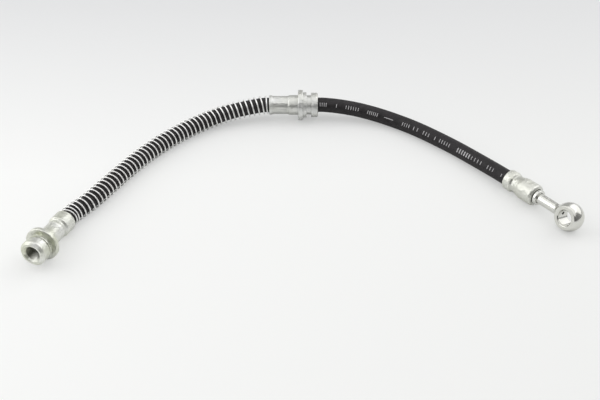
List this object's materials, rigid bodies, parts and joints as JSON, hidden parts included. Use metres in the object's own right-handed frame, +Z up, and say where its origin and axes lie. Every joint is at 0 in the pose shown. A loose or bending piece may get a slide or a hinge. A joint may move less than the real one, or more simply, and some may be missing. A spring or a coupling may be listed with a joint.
{
  "type": "brake hose",
  "caption": "Flexible brake hose under a wire spring guard, with a flanged female-thread end, a bracket sleeve and a banjo end.",
  "frame": {"origin": "middle of the bounding box of the fittings and guard in plan, on the surface the part lies on", "axes": "+Z up from that surface; +X from the spring-guarded leg to the banjo end; +Y from the female end's mouth towards the crown of the arch"},
  "size_m": [0.2752, 0.2744, 0.0222],
  "materials": {
    "zinc": "zinc-plated steel, satin bright with a faint yellow-green tint",
    "bright_zinc": "bright zinc-plated steel, nearly mirror smooth",
    "spring_wire": "drawn bright steel wire",
    "rubber": "satin black rubber"
  },
  "bodies": {
    "root": {"female_end_fitting": "zinc", "female_ferrule": "zinc", "hose": "rubber", "spring_guard": "spring_wire", "bracket_sleeve": "zinc", "banjo_eye": "bright_zinc", "banjo_stem": "bright_zinc", "banjo_ferrule": "zinc"}
  },
  "joints": []
}
